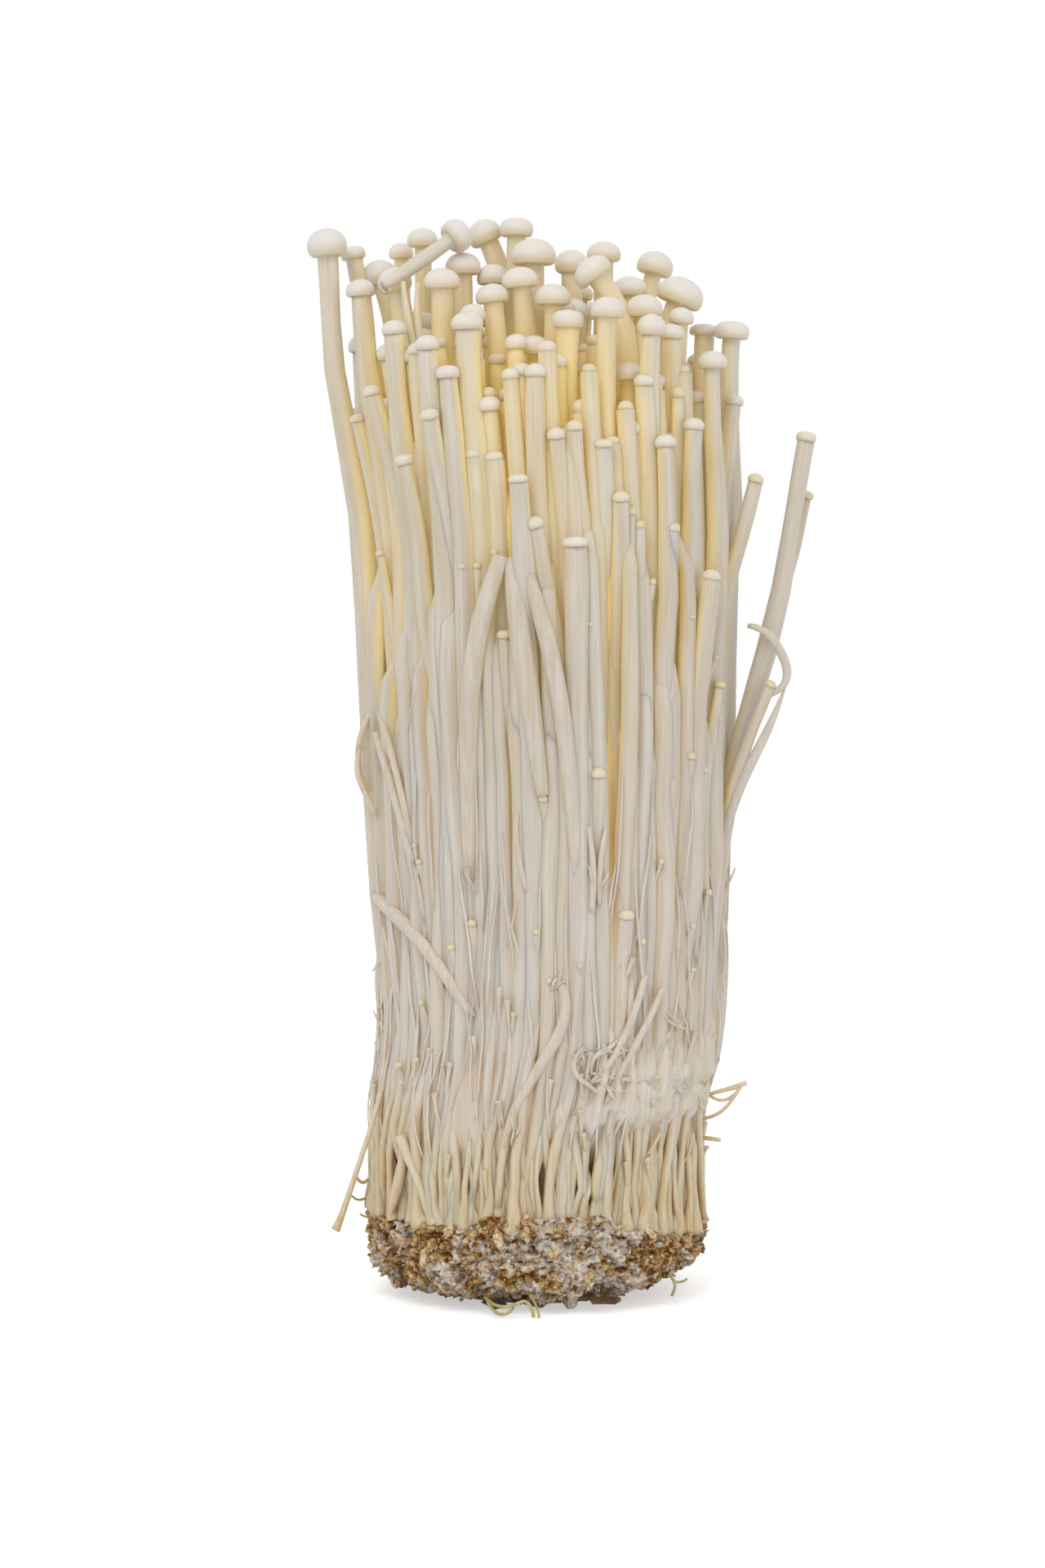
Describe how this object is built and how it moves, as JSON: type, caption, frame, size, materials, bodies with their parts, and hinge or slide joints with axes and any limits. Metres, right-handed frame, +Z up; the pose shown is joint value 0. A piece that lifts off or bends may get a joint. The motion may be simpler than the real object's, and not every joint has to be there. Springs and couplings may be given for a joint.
{
  "type": "enoki mushroom bunch",
  "caption": "Upright bunch of long thin pale mushrooms with small round caps, grown together on a low round block of bran substrate, with a broken-off mushroom lying across the caps.",
  "frame": {"origin": "middle of the flat spot under the block that the bunch stands on", "axes": "+Z up along the stems, -Y towards the side shown, +X to the right of that side"},
  "size_m": [0.0805, 0.0628, 0.1717],
  "materials": {
    "substrate": "crumbly bran and sawdust with white threads of the fungus",
    "mushroom": "smooth moist cream flesh, satin caps, stems finely striped lengthwise"
  },
  "bodies": {
    "root": {"substrate_block": "substrate", "mushroom_cluster": "mushroom", "broken_mushroom": "mushroom"}
  },
  "joints": []
}
